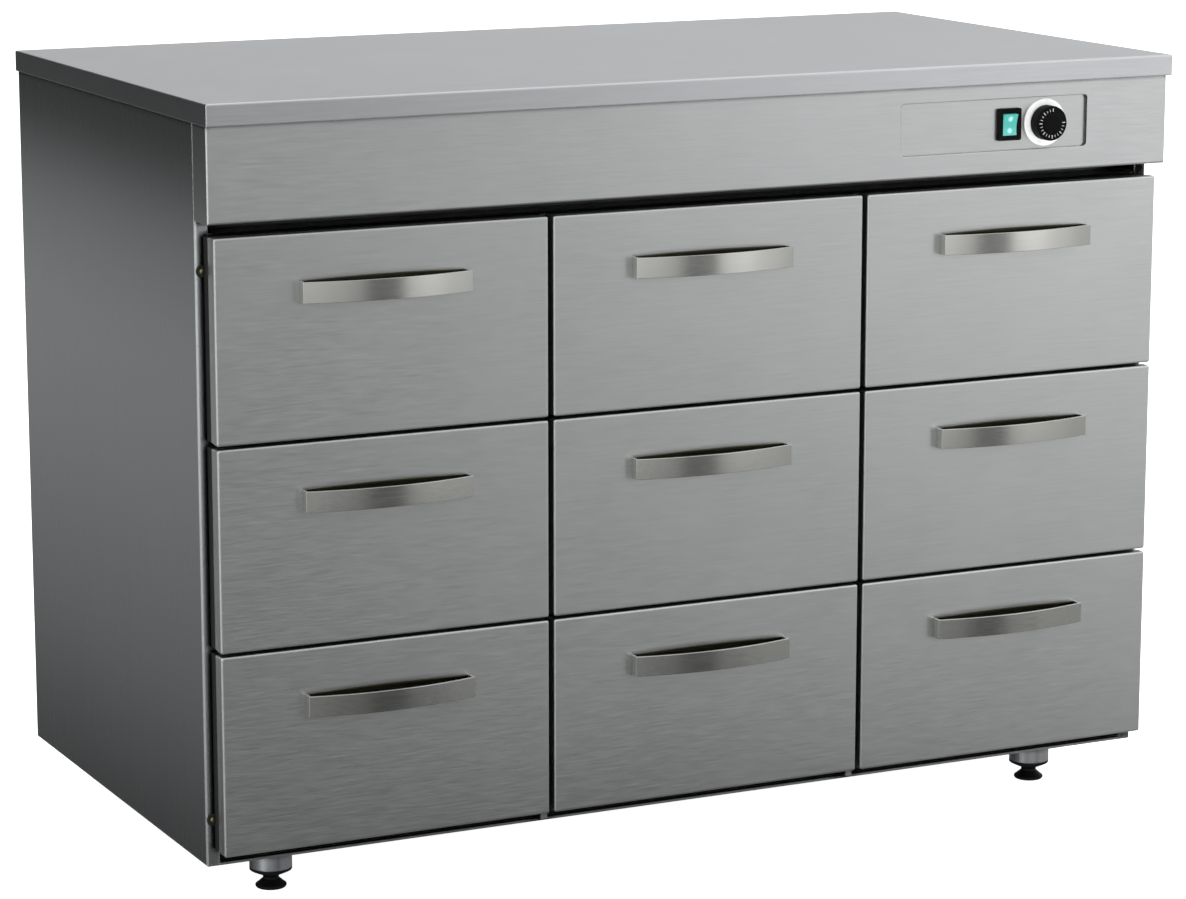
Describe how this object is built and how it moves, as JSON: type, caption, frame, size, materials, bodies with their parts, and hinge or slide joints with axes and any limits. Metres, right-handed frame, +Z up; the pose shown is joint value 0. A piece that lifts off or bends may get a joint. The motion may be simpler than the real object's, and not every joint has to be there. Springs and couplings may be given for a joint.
{
  "type": "blanket warming cabinet",
  "caption": "Heated steel cabinet with a worktop, a grid of sealed drawers with bow handles, a thermostat knob and a lit rocker switch, on levelling feet.",
  "frame": {"origin": "on the floor under the middle of the cabinet's bounding box", "axes": "+X to the right seen from the front, +Y to the back, +Z up; the drawers open towards -Y"},
  "size_m": [1.2, 0.6626, 0.893],
  "materials": {
    "outer_steel": "brushed stainless sheet",
    "inner_steel": "plain rolled stainless sheet",
    "runner_steel": "zinc plated, dull",
    "element_steel": "heat darkened steel",
    "plated_steel": "plated",
    "handle_metal": "satin",
    "seal_rubber": "matt",
    "insulation": "mineral wool",
    "black_plastic": "moulded, matt",
    "rocker_plastic": "translucent, gloss",
    "dial_white": "smooth white"
  },
  "bodies": {
    "cabinet": {"worktop": "outer_steel", "side_panel_left": "outer_steel", "side_panel_right": "outer_steel", "back_panel": "outer_steel", "base_pan": "outer_steel", "control_fascia": "outer_steel", "control_plate": "outer_steel", "front_frame": "outer_steel", "inner_walls": "inner_steel", "insulation": "insulation", "cabinet_runners": "runner_steel", "opening_seals": "seal_rubber", "heating_element": "element_steel", "thermostat": "plated_steel", "dial_ring": "dial_white", "switch_bezel": "black_plastic", "leg_inserts": "black_plastic", "cable_gland": "black_plastic"},
    "knob": {"thermostat_knob": "black_plastic"},
    "rocker_button": {"rocker": "rocker_plastic"},
    "drawer_r1c1": {"drawer_front_r1c1": "outer_steel", "drawer_box_r1c1": "inner_steel", "drawer_runners_r1c1": "runner_steel", "drawer_handle_r1c1": "handle_metal"},
    "drawer_r1c2": {"drawer_front_r1c2": "outer_steel", "drawer_box_r1c2": "inner_steel", "drawer_runners_r1c2": "runner_steel", "drawer_handle_r1c2": "handle_metal"},
    "drawer_r1c3": {"drawer_front_r1c3": "outer_steel", "drawer_box_r1c3": "inner_steel", "drawer_runners_r1c3": "runner_steel", "drawer_handle_r1c3": "handle_metal"},
    "drawer_r2c1": {"drawer_front_r2c1": "outer_steel", "drawer_box_r2c1": "inner_steel", "drawer_runners_r2c1": "runner_steel", "drawer_handle_r2c1": "handle_metal"},
    "drawer_r2c2": {"drawer_front_r2c2": "outer_steel", "drawer_box_r2c2": "inner_steel", "drawer_runners_r2c2": "runner_steel", "drawer_handle_r2c2": "handle_metal"},
    "drawer_r2c3": {"drawer_front_r2c3": "outer_steel", "drawer_box_r2c3": "inner_steel", "drawer_runners_r2c3": "runner_steel", "drawer_handle_r2c3": "handle_metal"},
    "drawer_r3c1": {"drawer_front_r3c1": "outer_steel", "drawer_box_r3c1": "inner_steel", "drawer_runners_r3c1": "runner_steel", "drawer_handle_r3c1": "handle_metal"},
    "drawer_r3c2": {"drawer_front_r3c2": "outer_steel", "drawer_box_r3c2": "inner_steel", "drawer_runners_r3c2": "runner_steel", "drawer_handle_r3c2": "handle_metal"},
    "drawer_r3c3": {"drawer_front_r3c3": "outer_steel", "drawer_box_r3c3": "inner_steel", "drawer_runners_r3c3": "runner_steel", "drawer_handle_r3c3": "handle_metal"},
    "foot_front_left": {"levelling_foot_front_left": "black_plastic"},
    "foot_front_right": {"levelling_foot_front_right": "black_plastic"},
    "foot_back_left": {"levelling_foot_back_left": "black_plastic"},
    "foot_back_right": {"levelling_foot_back_right": "black_plastic"}
  },
  "joints": [
    {"name": "slide_r1c1", "type": "slide", "parent": "cabinet", "child": "drawer_r1c1", "axis": [0, -1, 0], "range_m": [0, 0.38]},
    {"name": "slide_r1c2", "type": "slide", "parent": "cabinet", "child": "drawer_r1c2", "axis": [0, -1, 0], "range_m": [0, 0.38]},
    {"name": "slide_r1c3", "type": "slide", "parent": "cabinet", "child": "drawer_r1c3", "axis": [0, -1, 0], "range_m": [0, 0.38]},
    {"name": "slide_r2c1", "type": "slide", "parent": "cabinet", "child": "drawer_r2c1", "axis": [0, -1, 0], "range_m": [0, 0.38]},
    {"name": "slide_r2c2", "type": "slide", "parent": "cabinet", "child": "drawer_r2c2", "axis": [0, -1, 0], "range_m": [0, 0.38]},
    {"name": "slide_r2c3", "type": "slide", "parent": "cabinet", "child": "drawer_r2c3", "axis": [0, -1, 0], "range_m": [0, 0.38]},
    {"name": "slide_r3c1", "type": "slide", "parent": "cabinet", "child": "drawer_r3c1", "axis": [0, -1, 0], "range_m": [0, 0.38]},
    {"name": "slide_r3c2", "type": "slide", "parent": "cabinet", "child": "drawer_r3c2", "axis": [0, -1, 0], "range_m": [0, 0.38]},
    {"name": "slide_r3c3", "type": "slide", "parent": "cabinet", "child": "drawer_r3c3", "axis": [0, -1, 0], "range_m": [0, 0.38]},
    {"name": "knob_turn", "type": "hinge", "parent": "cabinet", "child": "knob", "pos_m": [0.4333, -0.3078, 0.821], "axis": [0, 1, 0], "range_deg": [0, 270]},
    {"name": "rocker_tip", "type": "hinge", "parent": "cabinet", "child": "rocker_button", "pos_m": [0.3842, -0.3078, 0.821], "axis": [1, 0, 0], "range_deg": [-14, 0]},
    {"name": "foot_front_left_screw", "type": "slide", "parent": "cabinet", "child": "foot_front_left", "axis": [0, 0, -1], "range_m": [0, 0.025]},
    {"name": "foot_front_right_screw", "type": "slide", "parent": "cabinet", "child": "foot_front_right", "axis": [0, 0, -1], "range_m": [0, 0.025]},
    {"name": "foot_back_left_screw", "type": "slide", "parent": "cabinet", "child": "foot_back_left", "axis": [0, 0, -1], "range_m": [0, 0.025]},
    {"name": "foot_back_right_screw", "type": "slide", "parent": "cabinet", "child": "foot_back_right", "axis": [0, 0, -1], "range_m": [0, 0.025]}
  ]
}
